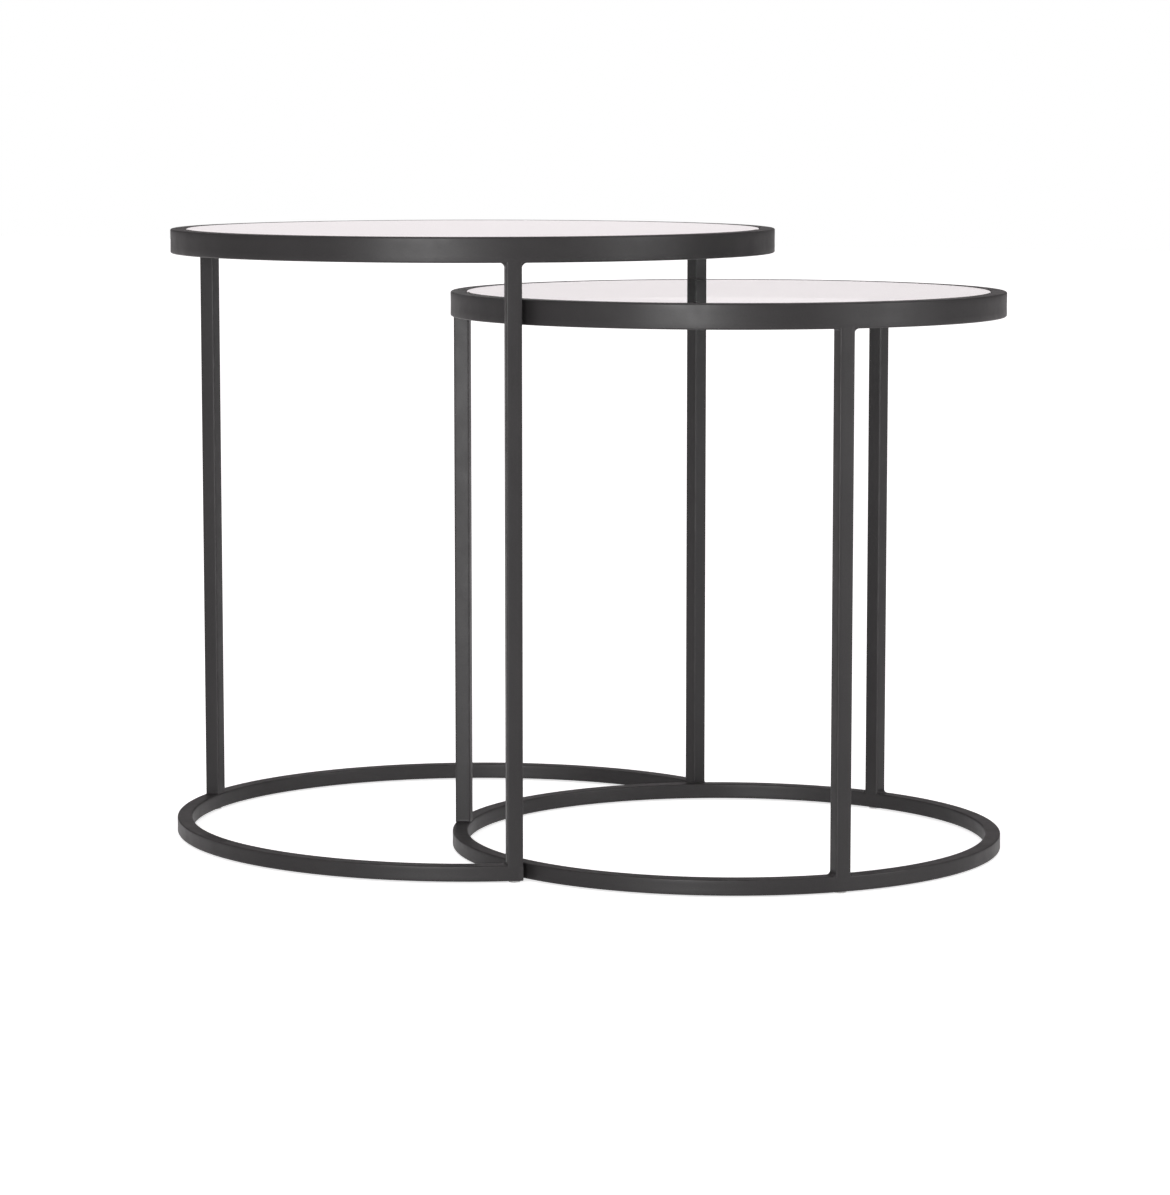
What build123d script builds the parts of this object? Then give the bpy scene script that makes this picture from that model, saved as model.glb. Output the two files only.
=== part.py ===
"""A pair of round nesting side tables: black welded steel frames with drop-in glass tops.

Millimetres, +Z up. The origin is on the floor, at the middle of the set's bounding box.
+X is the way the small table slides out from under the large one, and -Y is the front.
Each table is a top rim of rectangular tube, three square legs and a base ring of square tube.
The large base ring is a C, open between its front and back legs, so the small table can pass.
"""

from build123d import *
from math import asin, cos, degrees, radians, sin
import os

os.makedirs("parts", exist_ok=True)

# ---------------------------------------------------------------- driving dimensions
LARGE_RADIUS = 254.0
LARGE_HEIGHT = 512.0
SMALL_RADIUS = 228.6
SMALL_HEIGHT = 463.0
SMALL_TURN = 13.0          # the small table stands turned by this angle about its own axis
NESTED_PITCH = 227.5       # between the two centres, with the small table pushed right in

TUBE = 12.7                # square tube of the legs and base rings, and the rims' width
RIM_DEPTH = 20.0           # height of the rims' rectangular tube
WALL = 1.2
TUBE_CORNER = 1.2          # outer corner radius of every tube
BORE_CORNER = 0.4          # inner corner radius of every tube
VENT_RADIUS = 2.0          # vents from the legs into the rings, hidden by the leg ends

GLASS = 5.0
GLASS_EDGE = 0.8           # rounding of the glass edges
GLASS_PLAY = 0.5           # gap between the glass and its rim
BUMPER = 1.0
BUMPER_RADIUS = 4.0
BUMPERS = 6
LEDGE = 2.0
LEDGE_WIDTH = 12.0

GLIDE = 1.5                # thickness of the floor glides
GLIDE_RADIUS = 5.0
CAP = 1.5                  # thickness of the plates that close the C's two ends

# Angle of each leg about its table's axis, before the table is turned.
LEGS = {"left": 180.0, "front": 300.0, "back": 60.0}

# Throat of each weld: (clockwise, anticlockwise) side of the leg at the rim, then at the base.
# A zero is a side where the base ring ends and has nothing to weld.
LARGE_WELDS = {
    "left": ((3.5, 3.5), (2.0, 2.0)),
    "front": ((4.5, 4.5), (2.5, 0.0)),
    "back": ((3.5, 3.5), (0.0, 2.5)),
}
SMALL_WELDS = {
    "left": ((3.5, 3.5), (2.0, 2.0)),
    "front": ((1.8, 4.5), (4.5, 2.8)),
    "back": ((3.0, 3.0), (4.0, 4.0)),
}

# ---------------------------------------------------------------- derived places
SET_LENGTH = LARGE_RADIUS + NESTED_PITCH + SMALL_RADIUS
LARGE_X = LARGE_RADIUS - SET_LENGTH / 2
SMALL_X = LARGE_X + NESTED_PITCH
BASE_TOP = GLIDE + TUBE

FULL_CIRCLE = 360.0


def save(piece, label):
    """Name a finished piece and write it as its own STEP file."""
    piece.part.label = label
    export_step(piece.part, f"parts/{label}.step")


def axis_of(centre_x):
    """The vertical axis of the table whose centre is at centre_x."""
    return Axis((centre_x, 0, 0), (0, 0, 1))


def level_plane(centre_x, height):
    """A horizontal plane centred on a table's axis."""
    return Plane(origin=(centre_x, 0, height), x_dir=(1, 0, 0), z_dir=(0, 0, 1))


def radial_plane(centre_x, angle):
    """The upright plane through a table's axis at an angle: local X is outwards, local Y is up."""
    c = cos(radians(angle))
    s = sin(radians(angle))
    return Plane(origin=(centre_x, 0, 0), x_dir=(c, s, 0), z_dir=(s, -c, 0))


def tube_ring(centre_x, radius, bottom, depth, vent_height, vent_first, arc=(0.0, FULL_CIRCLE)):
    """A hollow rectangular tube rolled to a ring or an arc, with a vent at each of the three legs.

    radius is the outer radius, and arc is the first angle and the sweep.
    """
    first, sweep = arc
    middle = radius - TUBE / 2
    with BuildPart() as ring:
        with BuildSketch(radial_plane(centre_x, first)):
            with Locations((middle, bottom + depth / 2)):
                RectangleRounded(TUBE, depth, TUBE_CORNER)
                RectangleRounded(TUBE - 2 * WALL, depth - 2 * WALL, BORE_CORNER, mode=Mode.SUBTRACT)
        revolve(axis=axis_of(centre_x), revolution_arc=sweep)
        with BuildSketch(level_plane(centre_x, vent_height)):
            with PolarLocations(middle, len(LEGS), start_angle=vent_first):
                Circle(VENT_RADIUS)
        extrude(amount=1.5 * WALL, both=True, mode=Mode.SUBTRACT)
    return ring


def leg_tube(centre_x, radius, angle, bottom, top):
    """A square tube, open at both ends, with its outer face flush with the rings."""
    c = cos(radians(angle))
    s = sin(radians(angle))
    middle = radius - TUBE / 2
    foot = Plane(
        origin=(centre_x + middle * c, middle * s, bottom), x_dir=(c, s, 0), z_dir=(0, 0, 1)
    )
    with BuildPart() as leg:
        with BuildSketch(foot):
            RectangleRounded(TUBE, TUBE, TUBE_CORNER)
            RectangleRounded(TUBE - 2 * WALL, TUBE - 2 * WALL, BORE_CORNER, mode=Mode.SUBTRACT)
        extrude(amount=top - bottom)
    return leg


def weld_plane(centre_x, radius, angle, side, height, up):
    """Plane of a weld's section: the corner between a leg's side and a ring's flat face.

    side is 1 on the anticlockwise side of the leg and -1 on the other. Local X runs away from
    the leg, and local Y runs up the leg (up = 1) or down it (up = -1).
    """
    c = cos(radians(angle))
    s = sin(radians(angle))
    middle = radius - TUBE / 2
    reach = side * TUBE / 2
    return Plane(
        origin=(centre_x + middle * c - reach * s, middle * s + reach * c, height),
        x_dir=(-side * s, side * c, 0),
        z_dir=(side * up * c, side * up * s, 0),
    )


def weld_group(centre_x, radius, turn, throats, height, up):
    """One concave bead across the tube on each welded side of the three legs."""
    with BuildPart() as beads:
        for name, angle in LEGS.items():
            for side, throat in zip((-1, 1), throats[name]):
                if throat == 0:
                    continue
                with BuildSketch(weld_plane(centre_x, radius, angle + turn, side, height, up)):
                    with BuildLine():
                        Line((0, 0), (throat, 0))
                        RadiusArc((throat, 0), (0, throat), throat)
                        Line((0, throat), (0, 0))
                    make_face()
                extrude(amount=TUBE / 2 - TUBE_CORNER, both=True)
    return beads


def round_pads(centre_x, reach, first, count, bottom, thickness, pad_radius):
    """Equal round pads on a circle about a table's axis."""
    with BuildPart() as pads:
        with BuildSketch(level_plane(centre_x, bottom)):
            with PolarLocations(reach, count, start_angle=first):
                Circle(pad_radius)
        extrude(amount=thickness)
    return pads


def build_top(size, centre_x, radius, height, first):
    """The rim, the ledge inside it, the bumpers on the ledge and the glass on the bumpers."""
    rim_bottom = height - RIM_DEPTH
    rim = tube_ring(centre_x, radius, rim_bottom, RIM_DEPTH, rim_bottom, first)
    save(rim, f"{size}_top_rim")

    recess = radius - TUBE
    glass_bottom = height - GLASS
    ledge_top = glass_bottom - BUMPER
    with BuildPart() as ledge:
        with BuildSketch(level_plane(centre_x, ledge_top - LEDGE)):
            Circle(recess)
            Circle(recess - LEDGE_WIDTH, mode=Mode.SUBTRACT)
        extrude(amount=LEDGE)
    save(ledge, f"{size}_glass_ledge")

    bumpers = round_pads(
        centre_x, recess - LEDGE_WIDTH / 2, first, BUMPERS, ledge_top, BUMPER, BUMPER_RADIUS
    )
    save(bumpers, f"{size}_glass_bumpers")

    with BuildPart() as glass:
        with BuildSketch(level_plane(centre_x, glass_bottom)):
            Circle(recess - GLASS_PLAY)
        extrude(amount=GLASS)
        fillet(glass.edges().filter_by(GeomType.CIRCLE), GLASS_EDGE)
    save(glass, f"{size}_glass_top")


def build_legs(size, centre_x, radius, height, turn, welds):
    """The three legs between the base ring and the rim, and the welds at both of their ends."""
    rim_bottom = height - RIM_DEPTH
    for name, angle in LEGS.items():
        leg = leg_tube(centre_x, radius, angle + turn, BASE_TOP, rim_bottom)
        save(leg, f"{size}_{name}_leg")

    rim_throats = {name: pair[0] for name, pair in welds.items()}
    base_throats = {name: pair[1] for name, pair in welds.items()}
    rim_welds = weld_group(centre_x, radius, turn, rim_throats, rim_bottom, -1)
    save(rim_welds, f"{size}_rim_welds")
    base_welds = weld_group(centre_x, radius, turn, base_throats, BASE_TOP, 1)
    save(base_welds, f"{size}_base_welds")


def build_glides(size, centre_x, radius, first):
    """The floor glides, one under each leg."""
    glides = round_pads(centre_x, radius - TUBE / 2, first, len(LEGS), 0, GLIDE, GLIDE_RADIUS)
    save(glides, f"{size}_floor_glides")


# ---------------------------------------------------------------- large table
build_top("large", LARGE_X, LARGE_RADIUS, LARGE_HEIGHT, LEGS["left"])
build_legs("large", LARGE_X, LARGE_RADIUS, LARGE_HEIGHT, 0.0, LARGE_WELDS)

# The C runs from the back leg round the left to the front leg, and ends flush with them.
flush = degrees(asin(TUBE / 2 / (LARGE_RADIUS - TUBE / 2)))
c_first = LEGS["back"] - flush
c_sweep = LEGS["front"] - LEGS["back"] + 2 * flush
large_base_arc = tube_ring(
    LARGE_X, LARGE_RADIUS, GLIDE, TUBE, BASE_TOP, LEGS["left"], arc=(c_first, c_sweep)
)
save(large_base_arc, "large_base_arc")

# Two plates let into the C's open ends, each the shape of the tube's bore.
cap_sweep = degrees(CAP / (LARGE_RADIUS - TUBE / 2))
with BuildPart() as large_base_end_caps:
    for cap_first in (c_first, c_first + c_sweep - cap_sweep):
        with BuildSketch(radial_plane(LARGE_X, cap_first)):
            with Locations((LARGE_RADIUS - TUBE / 2, GLIDE + TUBE / 2)):
                RectangleRounded(TUBE - 2 * WALL, TUBE - 2 * WALL, BORE_CORNER)
        revolve(axis=axis_of(LARGE_X), revolution_arc=cap_sweep)
save(large_base_end_caps, "large_base_end_caps")

build_glides("large", LARGE_X, LARGE_RADIUS, LEGS["left"])

# ---------------------------------------------------------------- small table
small_first = LEGS["left"] + SMALL_TURN
build_top("small", SMALL_X, SMALL_RADIUS, SMALL_HEIGHT, small_first)
build_legs("small", SMALL_X, SMALL_RADIUS, SMALL_HEIGHT, SMALL_TURN, SMALL_WELDS)

small_base_ring = tube_ring(SMALL_X, SMALL_RADIUS, GLIDE, TUBE, BASE_TOP, small_first)
save(small_base_ring, "small_base_ring")

build_glides("small", SMALL_X, SMALL_RADIUS, small_first)
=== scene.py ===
"""Nesting tables: the visual model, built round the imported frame. Metres, +Z up, -Y is the front.

Every piece of steel, glass and soft plastic is rebuilt as a fine mesh where its CAD node is.
"""

import bpy
import math
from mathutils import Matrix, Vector


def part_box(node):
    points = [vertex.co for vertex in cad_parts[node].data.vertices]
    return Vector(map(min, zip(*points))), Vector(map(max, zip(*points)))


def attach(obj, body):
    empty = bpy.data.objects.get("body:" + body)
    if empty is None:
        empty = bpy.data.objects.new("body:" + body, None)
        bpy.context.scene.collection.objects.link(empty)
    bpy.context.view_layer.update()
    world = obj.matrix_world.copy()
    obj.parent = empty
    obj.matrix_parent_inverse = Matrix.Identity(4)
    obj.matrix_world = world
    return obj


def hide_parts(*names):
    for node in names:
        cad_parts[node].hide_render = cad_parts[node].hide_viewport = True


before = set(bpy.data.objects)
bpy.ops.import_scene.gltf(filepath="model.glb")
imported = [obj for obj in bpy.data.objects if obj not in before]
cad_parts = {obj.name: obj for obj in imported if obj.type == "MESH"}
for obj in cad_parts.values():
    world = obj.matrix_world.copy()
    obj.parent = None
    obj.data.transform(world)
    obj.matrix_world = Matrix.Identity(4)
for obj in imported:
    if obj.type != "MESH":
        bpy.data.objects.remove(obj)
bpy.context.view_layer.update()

MM = 0.001
FULL = 2 * math.pi
UP = Vector((0, 0, 1))

# ---------------------------------------------------------------- sizes the boxes don't give
TUBE_CORNER = 1.2 * MM
WALL = 1.2 * MM
ROLL_HOLLOW = 0.10 * MM    # how far rolling draws a tube's walls in at their middles
RING_STEPS = 360           # segments round a whole ring
CORNER_STEPS = 6           # segments round a tube's corner
FLAT_STEPS = 4             # segments across a tube's flat side
LEG_STEPS = 24             # segments along a leg

BORE_CORNER = 0.4 * MM     # inner corner radius of a tube
BORE_SHOWN = 3.0 * MM      # how deep the C's open ends are modelled behind their plates
END_EASE = 0.35 * MM       # rounding of the C's cut ends
PLATE = 1.5 * MM           # the plates that close those ends
PLATE_GAP = 0.12 * MM      # the line left round each plate
PLATE_CROWN = 0.06 * MM    # how far a plate's middle stands out from the start of its border
PLATE_ROUND = 0.25 * MM    # how far behind its face a plate reaches its full size
PLATE_BORDER = 0.4 * MM    # how much smaller a plate's square is at its crown, and at its face
PLATE_FACE = 2.0 * MM

LEDGE_WIDTH = 12.0 * MM
LEDGE_CORNER = 0.4 * MM
GLASS_EDGE = 0.8 * MM
BUMPERS = 6
BUMPER_RADIUS = 4.0 * MM
GLIDE_RADIUS = 5.0 * MM
PAD_STEPS = 40             # segments round a bumper or a glide
FACE_RING = 0.5 * MM       # a row of points this far inside a flat face keeps its shading flat

BEAD_STEPS = 36            # segments along a weld bead
BEAD_ARC = 10              # segments across its face
BEAD_SINK = 0.3 * MM       # how deep a bead is let into the tubes
BEAD_INSET = 0.72 * MM     # how far inside the tube's sides a bead ends
BEAD_TAPER = 0.45          # share of its size that a bead loses at its two ends
BEAD_BLUNT = 8             # the higher, the nearer to its ends a bead keeps its size
RIPPLE_PITCH = 1.7 * MM
RIPPLE_DRIFT = 0.2         # how much the ripples crowd towards one end
RIPPLE = 0.05 * MM

LEGS = ("left", "front", "back")
# Throat of each bead in mm on the clockwise and the anticlockwise side of its leg.
RIM_BEADS = {
    "large": {"left": (3.5, 3.5), "front": (4.5, 4.5), "back": (3.5, 3.5)},
    "small": {"left": (3.5, 3.5), "front": (1.8, 4.5), "back": (3.0, 3.0)},
}
BASE_BEADS = {
    "large": {"left": (2.0, 2.0), "front": (2.5, 0.0), "back": (0.0, 2.5)},
    "small": {"left": (2.0, 2.0), "front": (4.5, 2.8), "back": (4.0, 4.0)},
}
# Share of a leg's corner groove at the base ring that is filled and ground flush.
FLUSH_FOOT = {"left": 0.0, "front": 1.0, "back": 1.0}


# ---------------------------------------------------------------- where things are
def centre_of(node):
    low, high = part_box(node)
    return (low + high) / 2


class Table:
    """The sizes and places of one table, read from the boxes of its CAD nodes."""

    def __init__(self, size):
        self.size = size
        self.body = f"{size}_table"
        self.base = "large_base_arc" if size == "large" else "small_base_ring"
        rim_low, rim_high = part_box(self.node("top_rim"))
        base_low, base_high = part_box(self.base)
        leg_low, leg_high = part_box("large_left_leg")
        self.centre = centre_of(self.node("top_rim"))
        self.radius = (rim_high.x - rim_low.x) / 2
        self.tube = leg_high.y - leg_low.y
        self.middle = self.radius - self.tube / 2
        self.rim_bottom, self.rim_top = rim_low.z, rim_high.z
        self.base_bottom, self.base_top = base_low.z, base_high.z
        self.leg_angles = {}
        for leg in LEGS:
            at = centre_of(self.node(f"{leg}_leg")) - self.centre
            self.leg_angles[leg] = math.atan2(at.y, at.x)

    def node(self, name):
        return f"{self.size}_{name}"

    def point(self, angle, radius, z):
        """A place by its angle about this table's axis, its distance from it and its height."""
        x = self.centre.x + radius * math.cos(angle)
        y = self.centre.y + radius * math.sin(angle)
        return Vector((x, y, z))


# ---------------------------------------------------------------- meshes
class Shape:
    """Points, faces and an edge value for each point, for edge wear and painted sheen, gathered and
    then made a mesh.
    """

    def __init__(self):
        self.verts = []
        self.faces = []
        self.wear_and_sheen = []

    def add_loop(self, points, wear_and_sheen=None):
        """Add one closed loop of points, and return the number of its first point."""
        first = len(self.verts)
        self.verts.extend(points)
        self.wear_and_sheen.extend(wear_and_sheen or [0.0] * len(points))
        return first

    def join(self, a, b, count):
        """Quads between two loops of count points that start at a and b."""
        for j in range(count):
            k = (j + 1) % count
            self.faces.append((a + j, b + j, b + k, a + k))

    def cap(self, first, count, turned=False):
        """One flat face on a loop of count points, or with turned the other way up."""
        loop = tuple(range(first, first + count))
        self.faces.append(loop[::-1] if turned else loop)

    def build(self, name, material, smooth_angle=35):
        mesh = bpy.data.meshes.new(name)
        mesh.from_pydata([tuple(v) for v in self.verts], [], self.faces)
        # The corner mask for edge wear and the painted sheen, read by the coat.
        wear_and_sheen = mesh.attributes.new("wear_and_sheen", "FLOAT", "POINT")
        wear_and_sheen.data.foreach_set("value", self.wear_and_sheen)
        mesh.validate()
        mesh.shade_smooth()
        mesh.set_sharp_from_angle(angle=math.radians(smooth_angle))
        mesh.materials.append(material)
        obj = bpy.data.objects.new(name, mesh)
        bpy.context.scene.collection.objects.link(obj)
        return obj


def place(obj, body, slot, *nodes):
    """Give a piece its body, and let it stand for its CAD nodes. The slot is not used."""
    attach(obj, body)
    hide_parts(*nodes)


def tube_section(width, height, corner=TUBE_CORNER, hollow=0.0):
    """A rounded rectangle about the origin, anticlockwise, with each point's edge value for wear and
    painted sheen.
    """
    across, up = width / 2 - corner, height / 2 - corner
    corners = ((across, up), (-across, up), (-across, -up), (across, -up))
    points = []
    wear_and_sheen = []
    for quarter, (cx, cy) in enumerate(corners):
        for step in range(CORNER_STEPS + 1):
            t = step / CORNER_STEPS
            a = FULL * (quarter + t) / 4
            points.append(Vector((cx + corner * math.cos(a), cy + corner * math.sin(a))))
            # Edge value for wear and painted sheen, highest at each corner's middle.
            wear_and_sheen.append(math.sin(math.pi * t))
        a = FULL * (quarter + 1) / 4
        normal = Vector((math.cos(a), math.sin(a)))
        nx, ny = corners[(quarter + 1) % 4]
        here = points[-1]
        there = Vector((nx, ny)) + normal * corner
        for step in range(1, FLAT_STEPS):
            t = step / FLAT_STEPS
            points.append(here.lerp(there, t) - normal * hollow * math.sin(math.pi * t) ** 2)
            wear_and_sheen.append(0.0)
    return points, wear_and_sheen


def ring_loop(table, angle, radius, z, section):
    """A section stood up in a table's radial plane, about a point at that radius and height."""
    return [table.point(angle, radius + p.x, z + p.y) for p in section]


def swept_ring(name, table, radius, z, outline, material):
    """A closed ring whose section is centred at that radius and height."""
    section, wear_and_sheen = outline
    shape = Shape()
    count = len(section)
    for i in range(RING_STEPS):
        shape.add_loop(ring_loop(table, FULL * i / RING_STEPS, radius, z, section), wear_and_sheen)
    for i in range(RING_STEPS):
        shape.join(i * count, (i + 1) % RING_STEPS * count, count)
    return shape.build(name, material)


def tube_ring(name, table, bottom, depth, material):
    """A ring of rectangular tube, with the slight hollow that rolling leaves."""
    outline = tube_section(table.tube, depth, hollow=ROLL_HOLLOW)
    return swept_ring(name, table, table.middle, bottom + depth / 2, outline, material)


def ledge_ring(name, table, material):
    """The flat bar rolled into a ring inside the rim, with its edges eased."""
    low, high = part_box(table.node("glass_ledge"))
    middle = (high.x - low.x) / 2 - LEDGE_WIDTH / 2
    outline = tube_section(LEDGE_WIDTH, high.z - low.z, corner=LEDGE_CORNER)
    return swept_ring(name, table, middle, (low.z + high.z) / 2, outline, material)


def open_arc(name, table, material):
    """The C of square tube, with eased and open ends that the cap plates fill.

    It returns the piece with the arc's first angle and its sweep.
    """
    first = table.leg_angles["back"]
    last = table.leg_angles["front"] % FULL
    flush = math.asin(table.tube / 2 / table.middle)
    start, sweep = first - flush, last - first + 2 * flush
    depth = table.base_top - table.base_bottom
    z = table.base_bottom + depth / 2
    outer, wear_and_sheen = tube_section(table.tube, depth, hollow=ROLL_HOLLOW)
    eased, _ = tube_section(table.tube - 2 * END_EASE, depth - 2 * END_EASE, TUBE_CORNER - END_EASE)
    bore, _ = tube_section(table.tube - 2 * WALL, depth - 2 * WALL, BORE_CORNER)
    worn_and_sheened = [1.0] * len(outer)
    # Each end from inside the bore outwards: distance along the arc, section and edge value for wear
    # and painted sheen.
    rows = [(BORE_SHOWN, bore, None), (0, bore, None), (0, eased, worn_and_sheened), (END_EASE, outer, worn_and_sheened)]
    steps = round(RING_STEPS * sweep / FULL)
    shape = Shape()
    for along, section, row_wear_and_sheen in rows:
        angle = start + along / table.middle
        shape.add_loop(ring_loop(table, angle, table.middle, z, section), row_wear_and_sheen)
    for i in range(1, steps):
        angle = start + sweep * i / steps
        shape.add_loop(ring_loop(table, angle, table.middle, z, outer), wear_and_sheen)
    for along, section, row_wear_and_sheen in reversed(rows):
        angle = start + sweep - along / table.middle
        shape.add_loop(ring_loop(table, angle, table.middle, z, section), row_wear_and_sheen)
    count = len(outer)
    loops = len(shape.verts) // count
    for i in range(loops - 1):
        shape.join(i * count, (i + 1) * count, count)
    shape.cap(0, count)
    shape.cap((loops - 1) * count, count, turned=True)
    return shape.build(name, material), start, sweep


def cap_plates(name, table, start, sweep, material):
    """The two plates welded into the C's ends, slightly crowned where they were ground."""
    depth = table.base_top - table.base_bottom
    z = table.base_bottom + depth / 2
    size = table.tube - 2 * WALL - 2 * PLATE_GAP
    # From the hidden back to the crowned face: distance along the arc, and the square's side.
    border = (PLATE_CROWN, size - PLATE_BORDER)
    rows = ((PLATE, size), (PLATE_ROUND, size), border, (0, size - PLATE_FACE))
    shape = Shape()
    for end, inwards in ((start, 1), (start + sweep, -1)):
        base = len(shape.verts)
        for along, side in rows:
            section, _ = tube_section(side, side, BORE_CORNER)
            angle = end + inwards * along / table.middle
            last = shape.add_loop(ring_loop(table, angle, table.middle, z, section))
        count = len(section)
        for row in range(len(rows) - 1):
            a, b = base + row * count, base + (row + 1) * count
            shape.join(*((b, a, count) if inwards > 0 else (a, b, count)))
        shape.cap(base, count, turned=inwards > 0)
        shape.cap(last, count, turned=inwards < 0)
    return shape.build(name, material)


def square_leg(name, table, leg, material):
    """A straight square tube, its corner grooves at the rings filled where they were ground."""
    angle = table.leg_angles[leg]
    out = Vector((math.cos(angle), math.sin(angle), 0))
    along = UP.cross(out)
    section, wear_and_sheen = tube_section(table.tube, table.tube)
    bottom = table.base_top - TUBE_CORNER * FLUSH_FOOT[leg]
    top = table.rim_bottom + TUBE_CORNER
    shape = Shape()
    count = len(section)
    for i in range(LEG_STEPS + 1):
        foot = table.point(angle, table.middle, bottom + (top - bottom) * i / LEG_STEPS)
        shape.add_loop([foot + out * p.x + along * p.y for p in section], wear_and_sheen)
    for i in range(LEG_STEPS):
        shape.join((i + 1) * count, i * count, count)
    shape.cap(0, count, turned=True)
    shape.cap(LEG_STEPS * count, count)
    return shape.build(name, material)


def bead_section(throat, swell):
    """A concave bead between a level face and an upright one, let a little into both."""
    points = [Vector((-BEAD_SINK, -BEAD_SINK)), Vector((throat, -BEAD_SINK))]
    for step in range(BEAD_ARC + 1):
        t = step / BEAD_ARC
        a = FULL * (0.75 - 0.25 * t)
        radius = throat - swell * math.sin(math.pi * t)
        points.append(Vector((throat + radius * math.cos(a), throat + radius * math.sin(a))))
    points.append(Vector((-BEAD_SINK, throat)))
    return points


def add_bead(shape, table, angle, side, throat, z, up):
    """One rippled bead across the tube, tapering at both of its ends."""
    out = Vector((math.cos(angle), math.sin(angle), 0))
    away = UP.cross(out) * side
    corner = table.point(angle, table.middle, z) + away * (table.tube / 2)
    half = table.tube / 2 - BEAD_INSET
    rise = UP * up
    base = len(shape.verts)
    for i in range(BEAD_STEPS + 1):
        t = 2 * i / BEAD_STEPS - 1
        u = half * t
        taper = 1 - BEAD_TAPER * abs(t) ** BEAD_BLUNT
        swell = RIPPLE * (1 + math.cos(FULL * (u + RIPPLE_DRIFT * u * t) / RIPPLE_PITCH))
        section = bead_section(throat * taper, swell)
        shape.add_loop([corner + out * u + away * p.x + rise * p.y for p in section])
    count = len(section)
    right_handed = out.dot(away.cross(rise)) > 0
    for i in range(BEAD_STEPS):
        a, b = base + i * count, base + (i + 1) * count
        shape.join(*((b, a, count) if right_handed else (a, b, count)))
    shape.cap(base, count, turned=right_handed)
    shape.cap(base + BEAD_STEPS * count, count, turned=not right_handed)


def bead_group(name, table, throats, z, up, material):
    """All the beads of one table at one height, above that height or (up = -1) below it."""
    shape = Shape()
    for leg, pair in throats.items():
        for side, throat in zip((-1, 1), pair):
            if throat:
                add_bead(shape, table, table.leg_angles[leg], side, throat * MM, z, up)
    return shape.build(name, material)


def turned(shape, centre, profile, steps):
    """A solid of revolution about a vertical axis. The profile is (radius, height), upwards."""
    base = len(shape.verts)
    lowest, highest = profile[0], profile[-1]
    profile = [(lowest[0] - FACE_RING, lowest[1]), *profile, (highest[0] - FACE_RING, highest[1])]
    for radius, height in profile:
        angles = [FULL * i / steps for i in range(steps)]
        ring = [Vector((radius * math.cos(a), radius * math.sin(a), height)) for a in angles]
        shape.add_loop([centre + p for p in ring])
    for row in range(len(profile) - 1):
        shape.join(base + (row + 1) * steps, base + row * steps, steps)
    shape.cap(base, steps, turned=True)
    shape.cap(base + (len(profile) - 1) * steps, steps)


def round_edge(radius, low, high, ease, steps=4):
    """The profile of a disc of that radius between two heights, with rounded edges."""
    lower = []
    upper = []
    for step in range(steps + 1):
        a = FULL / 4 * step / steps
        reach = radius - ease + ease * math.sin(a)
        lower.append((reach, low + ease - ease * math.cos(a)))
        upper.append((reach, high - ease + ease * math.cos(a)))
    return lower + upper[::-1]


def glass_disc(name, table, material):
    """The round pane, with its edges ground round."""
    low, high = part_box(table.node("glass_top"))
    radius = (high.x - low.x) / 2
    axis = table.centre.xy.to_3d()
    shape = Shape()
    turned(shape, axis, round_edge(radius, low.z, high.z, GLASS_EDGE), RING_STEPS)
    return shape.build(name, material, smooth_angle=60)


def bumper_dots(name, table, material):
    """Domed silicone dots, pressed flat on top by the glass."""
    low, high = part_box(table.node("glass_bumpers"))
    ledge_low, ledge_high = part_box(table.node("glass_ledge"))
    reach = (ledge_high.x - ledge_low.x) / 2 - LEDGE_WIDTH / 2
    depth = high.z - low.z
    foot, flat, waist = 0.94, 0.82, 0.12    # shares of the radius, the radius and the depth
    steps = 6
    profile = [(BUMPER_RADIUS * foot, 0.0)]
    for step in range(steps + 1):
        a = FULL / 4 * step / steps
        bulge = BUMPER_RADIUS * (flat + (1 - flat) * math.cos(a))
        profile.append((bulge, depth * (waist + (1 - waist) * math.sin(a))))
    shape = Shape()
    for i in range(BUMPERS):
        at = table.point(table.leg_angles["left"] + FULL * i / BUMPERS, reach, low.z)
        turned(shape, at, profile, PAD_STEPS)
    return shape.build(name, material, smooth_angle=60)


def glide_pads(name, table, material):
    """Round floor glides with a rolled lower edge."""
    low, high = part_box(table.node("floor_glides"))
    depth = high.z - low.z
    tread, rolled = 0.78, 0.6               # shares of the radius and of the depth
    steps = 5
    profile = [(GLIDE_RADIUS * tread, 0.0)]
    for step in range(1, steps + 1):
        a = FULL / 4 * step / steps
        reach = GLIDE_RADIUS * (tread + (1 - tread) * math.sin(a))
        profile.append((reach, depth * rolled * (1 - math.cos(a))))
    profile.append((GLIDE_RADIUS, depth))
    shape = Shape()
    for leg in LEGS:
        at = table.point(table.leg_angles[leg], table.middle, low.z)
        turned(shape, at, profile, PAD_STEPS)
    return shape.build(name, material, smooth_angle=60)


# ---------------------------------------------------------------- materials
# The Mix node has sockets of the same names for each data type. These are its colour ones.
MIX_A = 6
MIX_B = 7
MIX_RESULT = 2

POWDER_DARK = (0.0135, 0.0125, 0.0130)
POWDER_LIGHT = (0.0200, 0.0188, 0.0192)
# Corner colour: rubbed wear plus a painted sheen where the tube corners catch the light.
POWDER_EDGE_WEAR_AND_SHEEN = (0.0300, 0.0285, 0.0290)
POWDER_DUST = (0.0520, 0.0500, 0.0490)
COAT_ROUGH = 0.42
COAT_SPEC = 0.32

GLASS_TINT = (0.62, 0.86, 0.78)
GLASS_DENSITY = 9.0
GLASS_SHADOW = (0.90, 0.93, 0.92)
CLEAR_SILICONE = (0.80, 0.82, 0.82)
CLEAR_GLIDE = (0.82, 0.82, 0.80)

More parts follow.
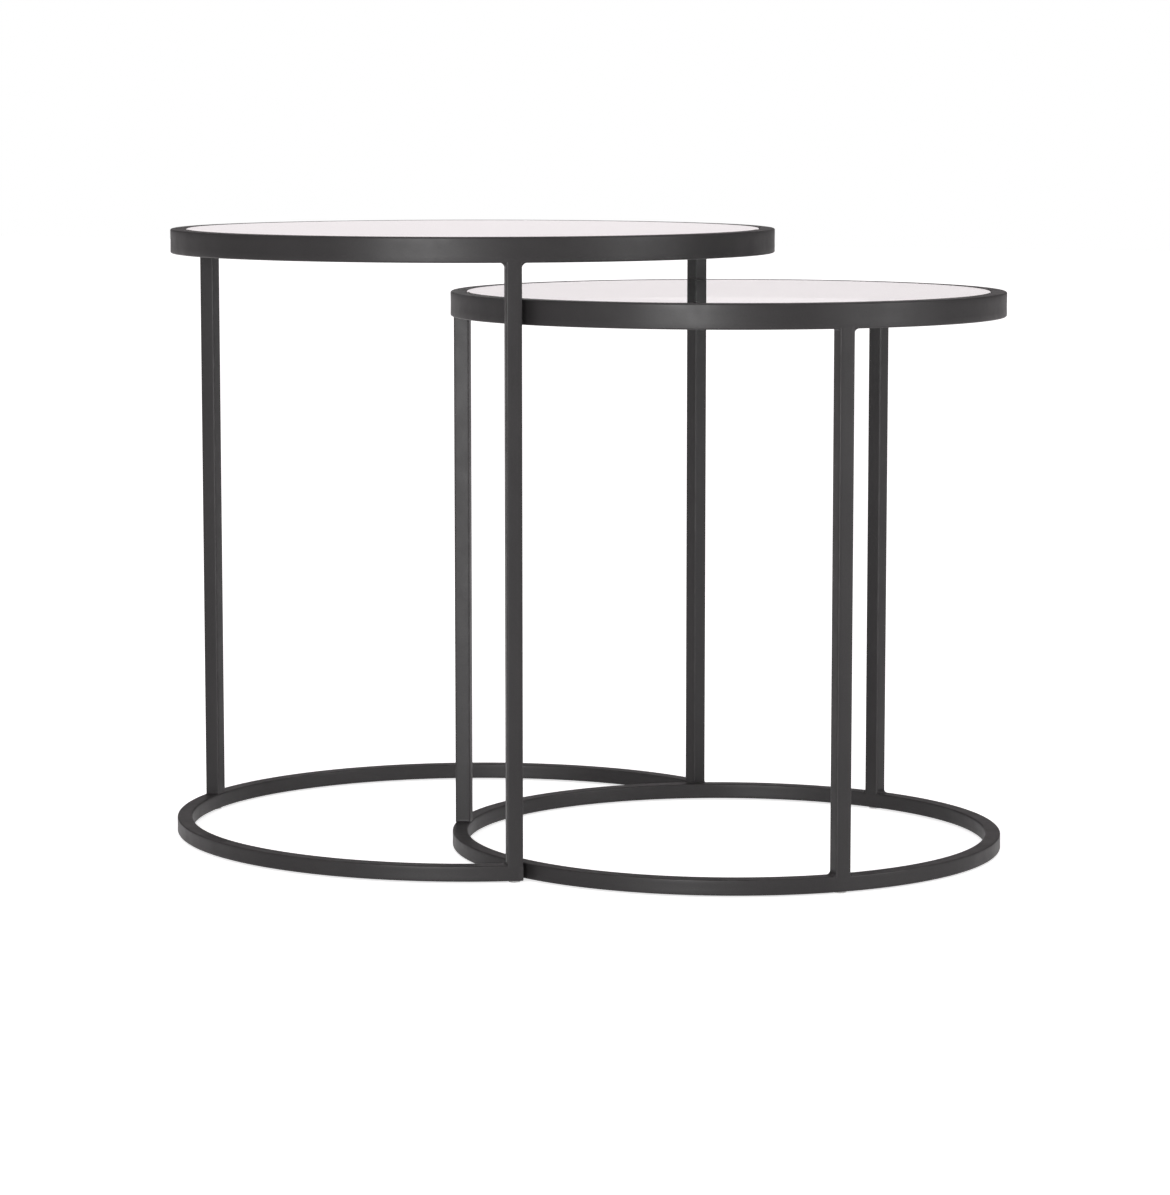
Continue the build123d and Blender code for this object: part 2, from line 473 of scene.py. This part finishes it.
FLOOR_DARK = (0.93, 0.93, 0.93)
FLOOR_LIGHT = (0.95, 0.95, 0.95)
FLOOR_GLOW = 0.68          # light the floor gives off, so that it comes out white
MIRRORED_GLOW = 0.25       # as much of that glow as the metal and the glass mirror


class Nodes:
    """A node tree, with short ways to add and join its nodes."""

    def __init__(self, tree):
        self.tree = tree

    def add(self, kind, **settings):
        node = self.tree.nodes.new(kind)
        for key, value in settings.items():
            setattr(node, key, value)
        return node

    def link(self, source, target):
        self.tree.links.new(source, target)

    def mix_colours(self, factor, a, b):
        """Colour a where the factor is 0 and colour b where it is 1. Each is a socket or a tuple."""
        node = self.add("ShaderNodeMix", data_type="RGBA")
        self.link(factor, node.inputs["Factor"])
        for index, value in ((MIX_A, a), (MIX_B, b)):
            if isinstance(value, bpy.types.NodeSocket):
                self.link(value, node.inputs[index])
            else:
                node.inputs[index].default_value = (*value, 1)
        return node.outputs[MIX_RESULT]

    def spread(self, source, low, high, from_low=0.0, from_high=1.0):
        """Map a value from one range to another, clamped."""
        node = self.add("ShaderNodeMapRange")
        for key, value in zip(
            ("From Min", "From Max", "To Min", "To Max"), (from_low, from_high, low, high)
        ):
            node.inputs[key].default_value = value
        self.link(source, node.inputs["Value"])
        return node.outputs["Result"]

    def split(self, vector):
        """The X, Y and Z of a vector."""
        node = self.add("ShaderNodeSeparateXYZ")
        self.link(vector, node.inputs["Vector"])
        return node.outputs

    def maths(self, operation, *values):
        """One sum on values that are sockets or plain numbers."""
        node = self.add("ShaderNodeMath", operation=operation)
        for index, value in enumerate(values):
            if isinstance(value, bpy.types.NodeSocket):
                self.link(value, node.inputs[index])
            else:
                node.inputs[index].default_value = value
        return node.outputs["Value"]


class Finish(Nodes):
    """A new material on the Principled shader, with the noises and bumps that finishes use."""

    def __init__(self, name):
        self.material = bpy.data.materials.new(name)
        self.material.use_nodes = True
        super().__init__(self.material.node_tree)
        self.shader = self.tree.nodes["Principled BSDF"]
        self.output = self.tree.nodes["Material Output"]
        self.place = self.add("ShaderNodeTexCoord").outputs["Object"]

    def set(self, **values):
        """Values of the shader's own sockets, with _ for each space in a socket's name."""
        for key, value in values.items():
            self.shader.inputs[key.replace("_", " ")].default_value = value

    def noise(self, scale, detail=3.0, roughness=0.5, stretch=None):
        node = self.add("ShaderNodeTexNoise")
        node.inputs["Scale"].default_value = scale
        node.inputs["Detail"].default_value = detail
        node.inputs["Roughness"].default_value = roughness
        source = self.place
        if stretch:
            mapping = self.add("ShaderNodeMapping")
            mapping.inputs["Scale"].default_value = stretch
            self.link(source, mapping.inputs["Vector"])
            source = mapping.outputs["Vector"]
        self.link(source, node.inputs["Vector"])
        return node.outputs["Fac"]

    def bump(self, height, distance, strength=1.0, under=None):
        node = self.add("ShaderNodeBump")
        node.inputs["Strength"].default_value = strength
        node.inputs["Distance"].default_value = distance
        self.link(height, node.inputs["Height"])
        if under:
            self.link(under, node.inputs["Normal"])
        return node.outputs["Normal"]

    # The corner mask for edge wear and the painted sheen.
    def wear_and_sheen(self):
        return self.add("ShaderNodeAttribute", attribute_name="wear_and_sheen").outputs["Fac"]


def powder_coat(name, weld_grain=0.0):
    """Satin black powder coat: mottled, orange-peeled, thin and paler over edges with wear and a
    painted sheen, faintly dusty on top.
    """
    n = Finish(name)
    # Colour: broad clouds and fine specks, paler over edges with rubbed wear and a painted sheen, and
    # under dust on level faces.
    cloud = n.spread(n.noise(9.0, 4.0, 0.6), 0.0, 1.0, 0.35, 0.65)
    speck = n.spread(n.noise(1400.0, 2.0), 0.0, 1.0, 0.42, 0.62)
    blend = n.maths("MULTIPLY_ADD", cloud, 0.55, n.maths("MULTIPLY", speck, 0.45))
    body = n.mix_colours(blend, POWDER_DARK, POWDER_LIGHT)
    # Painted sheen and wear: the tube corners are lightened, partly for rubbed coat, partly as a
    # painted sheen standing in for the light line they catch.
    rubbed_and_sheen = n.maths("MULTIPLY", n.wear_and_sheen(), n.spread(n.noise(70.0, 3.0), 0.1, 0.9, 0.38, 0.68))
    worn_and_sheened = n.mix_colours(rubbed_and_sheen, body, POWDER_EDGE_WEAR_AND_SHEEN)
    facing = n.split(n.add("ShaderNodeNewGeometry").outputs["Normal"])
    level = n.spread(facing["Z"], 0.0, 0.35, 0.6, 1.0)
    dust = n.maths("MULTIPLY", level, n.spread(n.noise(160.0, 5.0, 0.7), 0.0, 1.0, 0.45, 0.75))
    n.link(n.mix_colours(dust, worn_and_sheened, POWDER_DUST), n.shader.inputs["Base Color"])
    # Gloss: uneven satin, a little smoother where it is rubbed.
    satin = n.spread(n.noise(38.0, 4.0, 0.6), COAT_ROUGH - 0.05, COAT_ROUGH + 0.05, 0.3, 0.7)
    n.link(n.maths("SUBTRACT", satin, n.maths("MULTIPLY", rubbed_and_sheen, 0.05)), n.shader.inputs["Roughness"])
    # Relief: orange peel, then powder grain, and on the beads the coarser grain of the weld.
    relief = n.bump(n.noise(620.0, 2.0, 0.45), 0.06 * MM, 0.6)
    relief = n.bump(n.noise(3600.0, 2.0), 0.01 * MM, 0.5, under=relief)
    if weld_grain:
        relief = n.bump(n.noise(900.0, 3.0, 0.6), 0.15 * MM, weld_grain, under=relief)
    n.link(relief, n.shader.inputs["Normal"])
    n.set(Specular_IOR_Level=COAT_SPEC, IOR=1.5)
    return n.material


def float_glass(name):
    """Clear float glass, faintly green, with wiping marks, that casts only a pale shadow."""
    n = Finish(name)
    n.set(Base_Color=(1, 1, 1, 1), Transmission_Weight=1.0, IOR=1.52)
    wipe = n.spread(n.noise(7.0, 4.0, 0.65, stretch=(1.0, 2.6, 1.0)), 0.0, 0.035, 0.5, 0.8)
    fine = n.spread(n.noise(240.0, 2.0), 0.0, 0.006, 0.4, 0.7)
    n.link(n.maths("ADD", wipe, fine), n.shader.inputs["Roughness"])
    clear = n.add("ShaderNodeBsdfTransparent")
    clear.inputs["Color"].default_value = (*GLASS_SHADOW, 1)
    mix = n.add("ShaderNodeMixShader")
    n.link(n.add("ShaderNodeLightPath").outputs["Is Shadow Ray"], mix.inputs["Fac"])
    n.link(n.shader.outputs["BSDF"], mix.inputs[1])
    n.link(clear.outputs["BSDF"], mix.inputs[2])
    n.link(mix.outputs["Shader"], n.output.inputs["Surface"])
    tint = n.add("ShaderNodeVolumeAbsorption")
    tint.inputs["Color"].default_value = (*GLASS_TINT, 1)
    tint.inputs["Density"].default_value = GLASS_DENSITY
    n.link(tint.outputs["Volume"], n.output.inputs["Volume"])
    return n.material


def silicone(name, colour, haze):
    """Milky soft plastic or silicone, with a fine moulded grain. Haze is its mean roughness."""
    n = Finish(name)
    cloud = n.spread(n.noise(500.0, 3.0), 0.0, 1.0, 0.35, 0.65)
    paler = tuple(c + (1 - c) * 0.4 for c in colour)
    n.link(n.mix_colours(cloud, colour, paler), n.shader.inputs["Base Color"])
    n.link(n.spread(n.noise(900.0, 2.0), haze - 0.08, haze + 0.08), n.shader.inputs["Roughness"])
    n.link(n.bump(n.noise(2500.0, 2.0), 0.02 * MM, 0.4), n.shader.inputs["Normal"])
    n.set(Transmission_Weight=0.75, IOR=1.42)
    return n.material


def pale_floor(name):
    """The studio floor: near white, faintly mottled, and glowing a little."""
    n = Finish(name)
    cloud = n.spread(n.noise(3.0, 4.0), 0.0, 1.0, 0.3, 0.7)
    n.link(n.mix_colours(cloud, FLOOR_DARK, FLOOR_LIGHT), n.shader.inputs["Base Color"])
    n.set(Roughness=0.9, Specular_IOR_Level=0.1, Emission_Color=(1, 1, 1, 1))
    mirrored = n.add("ShaderNodeLightPath").outputs["Is Glossy Ray"]
    n.link(n.spread(mirrored, FLOOR_GLOW, MIRRORED_GLOW), n.shader.inputs["Emission Strength"])
    return n.material


# ---------------------------------------------------------------- the two tables
def build_table(size, coat, weld_coat, glass, dot, pad):
    """Everything of one table but its base."""
    table = Table(size)
    body = table.body
    rim_depth = table.rim_top - table.rim_bottom
    rim = tube_ring(f"{size}_rim", table, table.rim_bottom, rim_depth, coat)
    place(rim, body, "frame_steel", table.node("top_rim"))
    place(ledge_ring(f"{size}_ledge", table, coat), body, "frame_steel", table.node("glass_ledge"))
    for leg in LEGS:
        piece = square_leg(f"{size}_{leg}_post", table, leg, coat)
        place(piece, body, "frame_steel", table.node(f"{leg}_leg"))
    groups = (
        ("rim", RIM_BEADS[size], table.rim_bottom, -1),
        ("base", BASE_BEADS[size], table.base_top, 1),
    )
    for name, throats, z, up in groups:
        beads = bead_group(f"{size}_{name}_beads", table, throats, z, up, weld_coat)
        place(beads, body, "weld_steel", table.node(f"{name}_welds"))
    dots = bumper_dots(f"{size}_dots", table, dot)
    place(dots, body, "clear_silicone", table.node("glass_bumpers"))
    pads = glide_pads(f"{size}_glides", table, pad)
    place(pads, body, "clear_glide", table.node("floor_glides"))
    disc = glass_disc(f"{size}_glass_disc", table, glass)
    place(disc, f"{size}_glass", "clear_glass", table.node("glass_top"))
    return table


def build_bases(large, small, coat):
    """The large table's C with its two plates, and the small table's whole ring."""
    arc, start, sweep = open_arc("large_base_c", large, coat)
    place(arc, large.body, "frame_steel", large.base)
    plates = cap_plates("large_base_plates", large, start, sweep, coat)
    place(plates, large.body, "frame_steel", "large_base_end_caps")
    depth = small.base_top - small.base_bottom
    ring = tube_ring("small_base_hoop", small, small.base_bottom, depth, coat)
    place(ring, small.body, "frame_steel", small.base)


# ---------------------------------------------------------------- studio
# Azimuths are in degrees, from straight ahead of the front towards +X.
CAMERA_AZIMUTH = 21.18
CAMERA_REACH = 3.319
CAMERA_HEIGHT = 0.6097
CAMERA_AIM = (0, 0, 0.2027)
CAMERA_LENS = 119.5
SENSOR_WIDTH = 36.0
CLIP_END = 100.0

# Softboxes: azimuth, distance from the middle, height off the floor, width, tallness, watts.
KEY_LIGHT = (4.0, 4.6, 0.95, 1.4, 1.9, 125.0)
RIGHT_FILL = (84.0, 4.0, 1.0, 2.2, 2.0, 50.0)
LIGHT_AIM = (0, 0, 0.25)

# The world's levels, along one line in the room: the one that the photograph's view looks along.
STUDIO_WHITE = (1.0, 0.945, 0.96)
FRONT_WALL = 0.40
REAR_WALL = 0.15
WALL_TURN = 0.4            # the walls blend between minus and plus this cosine from that line
SWEEP_FROM = 0.95          # cosine from that line where the white sweep begins, and is full
SWEEP_FULL = 0.988
SWEEP_LOW = 0.08           # sine of the elevation where the sweep starts to fade, and ends
SWEEP_TOP = 0.18
CEILING = 0.75
CEILING_FROM = 0.2         # sine of the elevation where the ceiling begins, and is full
CEILING_FULL = 0.8

FLOOR_HALF = 14.0
FLOOR_CELLS = 8
FLOOR_DROP = 0.05 * MM     # the floor lies this far under the glides, clear of their faces


def stand(azimuth, reach, height):
    """The place at that azimuth, horizontal distance and height."""
    turn = math.radians(azimuth)
    return Vector((reach * math.sin(turn), -reach * math.cos(turn), height))


def put(name, data, place, at):
    """Add a light or the camera at a place, and point it at another."""
    obj = bpy.data.objects.new(name, data)
    bpy.context.scene.collection.objects.link(obj)
    obj.location = place
    obj.rotation_euler = (Vector(at) - place).to_track_quat("-Z", "Y").to_euler()
    return obj


def add_camera():
    data = bpy.data.cameras.new("camera")
    data.lens = CAMERA_LENS
    data.sensor_width = SENSOR_WIDTH
    data.clip_end = CLIP_END
    place = stand(CAMERA_AZIMUTH, CAMERA_REACH, CAMERA_HEIGHT)
    bpy.context.scene.camera = put("camera", data, place, CAMERA_AIM)


def add_softbox(name, azimuth, reach, height, width, tall, power):
    data = bpy.data.lights.new(name, "AREA")
    data.shape = "RECTANGLE"
    data.size = width
    data.size_y = tall
    data.energy = power
    put(name, data, stand(azimuth, reach, height), LIGHT_AIM)


def add_world():
    """Dim walls, a bright ceiling and a low white sweep along one line, all white to the camera."""
    world = bpy.data.worlds.new("studio")
    world.use_nodes = True
    bpy.context.scene.world = world
    n = Nodes(world.node_tree)
    direction = n.add("ShaderNodeTexCoord").outputs["Generated"]
    along = n.add("ShaderNodeVectorMath", operation="DOT_PRODUCT")
    along.inputs[1].default_value = stand(CAMERA_AZIMUTH, 1.0, 0.0)
    n.link(direction, along.inputs[0])
    cosine = along.outputs["Value"]
    elevation = n.split(direction)["Z"]
    wall = n.spread(cosine, REAR_WALL, FRONT_WALL, -WALL_TURN, WALL_TURN)
    near_line = n.spread(n.maths("ABSOLUTE", cosine), 0.0, 1.0, SWEEP_FROM, SWEEP_FULL)
    sweep = n.maths("MULTIPLY", near_line, n.spread(elevation, 1.0, 0.0, SWEEP_LOW, SWEEP_TOP))
    ceiling = n.spread(elevation, 0.0, CEILING, CEILING_FROM, CEILING_FULL)
    to_camera = n.add("ShaderNodeLightPath").outputs["Is Camera Ray"]
    level = n.maths("MAXIMUM", n.maths("MAXIMUM", wall, sweep), n.maths("MAXIMUM", ceiling, to_camera))
    background = world.node_tree.nodes["Background"]
    n.link(level, background.inputs["Strength"])
    n.link(n.mix_colours(to_camera, STUDIO_WHITE, (1, 1, 1)), background.inputs["Color"])


def add_floor():
    """A level sheet of square cells, just under the glides."""
    shape = Shape()
    row = FLOOR_CELLS + 1
    places = [FLOOR_HALF * (2 * i / FLOOR_CELLS - 1) for i in range(row)]
    for y in places:
        shape.add_loop([Vector((x, y, -FLOOR_DROP)) for x in places])
    for j in range(FLOOR_CELLS):
        for i in range(FLOOR_CELLS):
            a = j * row + i
            shape.faces.append((a, a + 1, a + row + 1, a + row))
    shape.build("floor", pale_floor("floor"))


def add_studio():
    add_camera()
    add_world()
    add_softbox("key", *KEY_LIGHT)
    add_softbox("right_fill", *RIGHT_FILL)
    add_floor()
    bpy.context.scene.view_settings.view_transform = "Standard"


coat = powder_coat("black_powder_coat")
weld_coat = powder_coat("black_coat_on_weld", weld_grain=0.5)
glass = float_glass("clear_glass")
dot = silicone("clear_silicone", CLEAR_SILICONE, 0.25)
pad = silicone("clear_glide", CLEAR_GLIDE, 0.35)

large = build_table("large", coat, weld_coat, glass, dot, pad)
small = build_table("small", coat, weld_coat, glass, dot, pad)
build_bases(large, small, coat)
add_studio()
